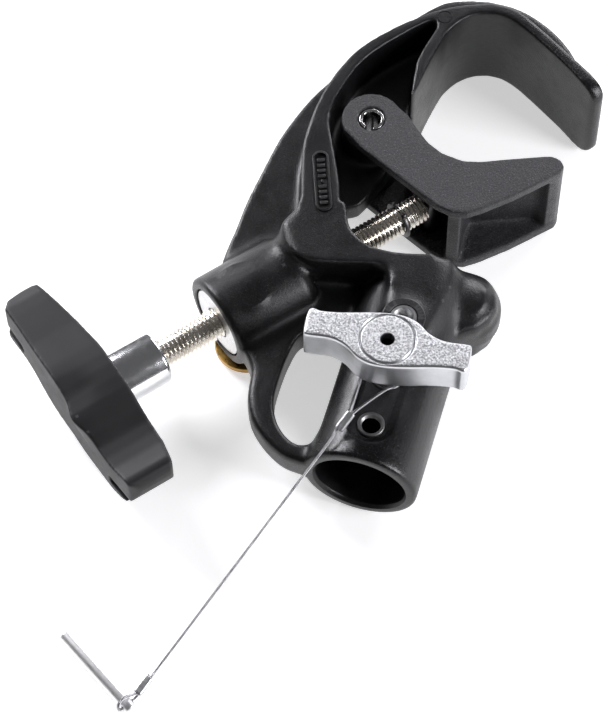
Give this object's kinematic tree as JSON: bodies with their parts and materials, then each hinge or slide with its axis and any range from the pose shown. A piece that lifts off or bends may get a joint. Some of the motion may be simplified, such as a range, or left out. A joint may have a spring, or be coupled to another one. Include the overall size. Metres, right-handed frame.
{
  "type": "pipe clamp",
  "caption": "Cast hook clamp for a pipe, with a screw-driven swinging jaw, T-handle, quick-release button, spigot socket with wing screw, and a safety pin on a wire tether.",
  "frame": {"origin": "centre of the clamp's box (without the tether) on the surface that it lies on", "axes": "+Z is the normal of the clamp's plane, from its back to its front; the spigot socket opens towards -Y and the hook opens towards +X"},
  "size_m": [0.1647, 0.2728, 0.0595],
  "materials": {
    "clamp_body": "die-cast aluminium under satin black powder coat, fine grain",
    "jaw": "die-cast aluminium under dark grey-black powder coat, matter than the frame",
    "pivot_pin": "spring steel, rolled slotted pin, bright",
    "main_screw": "zinc-plated steel with rolled thread, slightly warm",
    "screw_circlip": "dark phosphated spring steel",
    "trunnion": "dark phosphated steel",
    "guide_disc": "plated steel, dull",
    "release_button": "turned brass, tarnished to golden brown",
    "button_spring": "bright spring wire",
    "handle_grip": "matte black glass-filled nylon, scuffed",
    "handle_collar": "turned steel, polished zinc plate",
    "wing_head": "tumbled die-cast zinc or aluminium, rough on top",
    "wing_stud": "plated threaded steel",
    "insert_upper": "plated steel threaded insert",
    "insert_wing": "plated steel threaded insert",
    "insert_lower": "plated steel threaded insert",
    "tether_cable": "stranded steel wire rope",
    "ferrule_upper": "crimped ferrule, dull",
    "ferrule_lower": "crimped ferrule, dull and dark",
    "safety_pin": "bright plated steel pin"
  },
  "bodies": {
    "frame": {"clamp_body": "clamp_body", "pivot_pin": "pivot_pin", "guide_disc": "guide_disc", "insert_upper": "insert_upper", "insert_wing": "insert_wing", "insert_lower": "insert_lower", "button_spring": "button_spring", "tether_cable": "tether_cable", "ferrule_upper": "ferrule_upper", "ferrule_lower": "ferrule_lower", "safety_pin": "safety_pin"},
    "jaw": {"jaw": "jaw"},
    "carriage": {"screw_circlip": "screw_circlip", "trunnion": "trunnion"},
    "screw": {"main_screw": "main_screw", "handle_collar": "handle_collar", "handle_grip": "handle_grip"},
    "button": {"release_button": "release_button"},
    "stud": {"wing_stud": "wing_stud"},
    "wing": {"wing_head": "wing_head"}
  },
  "joints": [
    {"name": "screw_slide", "type": "slide", "parent": "frame", "child": "carriage", "axis": [0.6534, 0.757, 0], "range_m": [-0.0071, 0.0091]},
    {"name": "screw_spin", "type": "hinge", "parent": "carriage", "child": "screw", "pos_m": [-0.0152, -0.0353, 0.019], "axis": [0.6534, 0.757, 0], "range_deg": [-1680, 2160]},
    {"name": "jaw_swing", "type": "hinge", "parent": "frame", "child": "jaw", "pos_m": [0.012, 0.0394, 0.019], "axis": [0, 0, 1], "range_deg": [-13.2, 17]},
    {"name": "button_press", "type": "slide", "parent": "frame", "child": "button", "axis": [0, 0, 1], "range_m": [0, 0.0012], "stiffness_N_per_m": 1500, "springref_m": -0.003, "deforming": ["button_spring"]},
    {"name": "wing_slide", "type": "slide", "parent": "frame", "child": "stud", "axis": [0, 0, 1], "range_m": [0, 0.004]},
    {"name": "wing_spin", "type": "hinge", "parent": "stud", "child": "wing", "pos_m": [0.0417, -0.0505, 0.0465], "axis": [0, 0, 1], "range_deg": [0, 1152]}
  ],
  "couplings": [
    {"joint": "screw_slide", "follows": "screw_spin", "m_per_rad": 0.00023873},
    {"joint": "jaw_swing", "follows": "screw_spin", "ratio": 0.00783},
    {"joint": "wing_slide", "follows": "wing_spin", "m_per_rad": 0.00019894}
  ]
}
